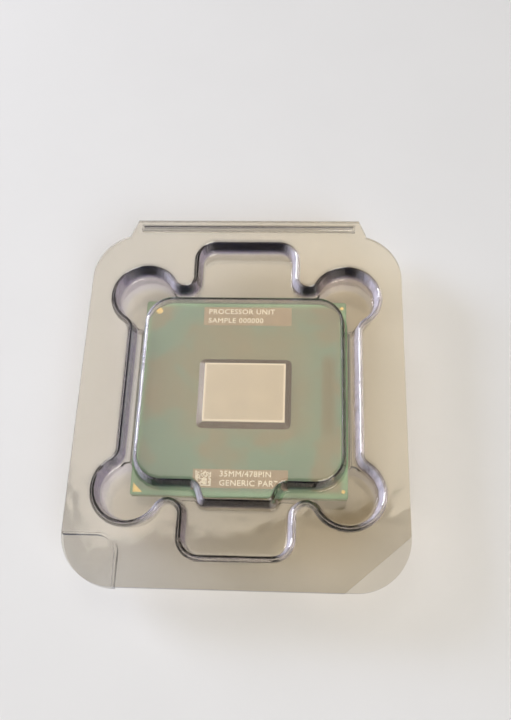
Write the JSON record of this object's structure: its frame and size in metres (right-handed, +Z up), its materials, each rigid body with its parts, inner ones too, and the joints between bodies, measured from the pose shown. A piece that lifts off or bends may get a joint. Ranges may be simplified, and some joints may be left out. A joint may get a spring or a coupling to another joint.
{
  "type": "cpu processor in hinged clamshell",
  "caption": "Square pin-grid processor with bare die, held in a clear thermoformed clamshell whose lid folds up on a rear living hinge.",
  "frame": {"origin": "middle of the clamshell footprint, on the surface the tray stands on", "axes": "+Z up through the lid, +Y towards the fold line at the back, -Y towards the opening edge, +X to the right seen from the opening edge"},
  "size_m": [0.0536, 0.0644, 0.0081],
  "materials": {
    "clear_sheet": "clear thermoformed plastic sheet",
    "laminate_core": "glass-fibre laminate, sawn edge",
    "laminate_buildup": "build-up resin layers, sawn edge",
    "solder_mask": "semi-gloss green solder mask",
    "silicon": "ground back of a silicon chip",
    "solder": "tin solder",
    "resin": "cured underfill resin",
    "gold_plate": "gold plated",
    "capacitor_ceramic": "fired ceramic",
    "panel_ink": "flat taupe print",
    "mark_ink": "cream print"
  },
  "bodies": {
    "tray": {"tray_shell": "clear_sheet", "substrate_core": "laminate_core", "buildup_top": "laminate_buildup", "buildup_bottom": "laminate_buildup", "solder_mask_top": "solder_mask", "solder_mask_bottom": "solder_mask", "die": "silicon", "solder_bumps": "solder", "underfill": "resin", "contact_pins": "gold_plate", "capacitor_bodies": "capacitor_ceramic", "capacitor_terminals": "solder", "pin_one_mark": "gold_plate", "gold_fiducial": "gold_plate", "corner_dots": "gold_plate", "marking_panel_back": "panel_ink", "marking_panel_front": "panel_ink", "code_block": "mark_ink"},
    "lid": {"lid_shell": "clear_sheet"}
  },
  "joints": [
    {"name": "lid_hinge", "type": "hinge", "parent": "tray", "child": "lid", "pos_m": [0, 0.03228, 0.0073], "axis": [-1, 0, 0], "range_deg": [0, 180]}
  ]
}
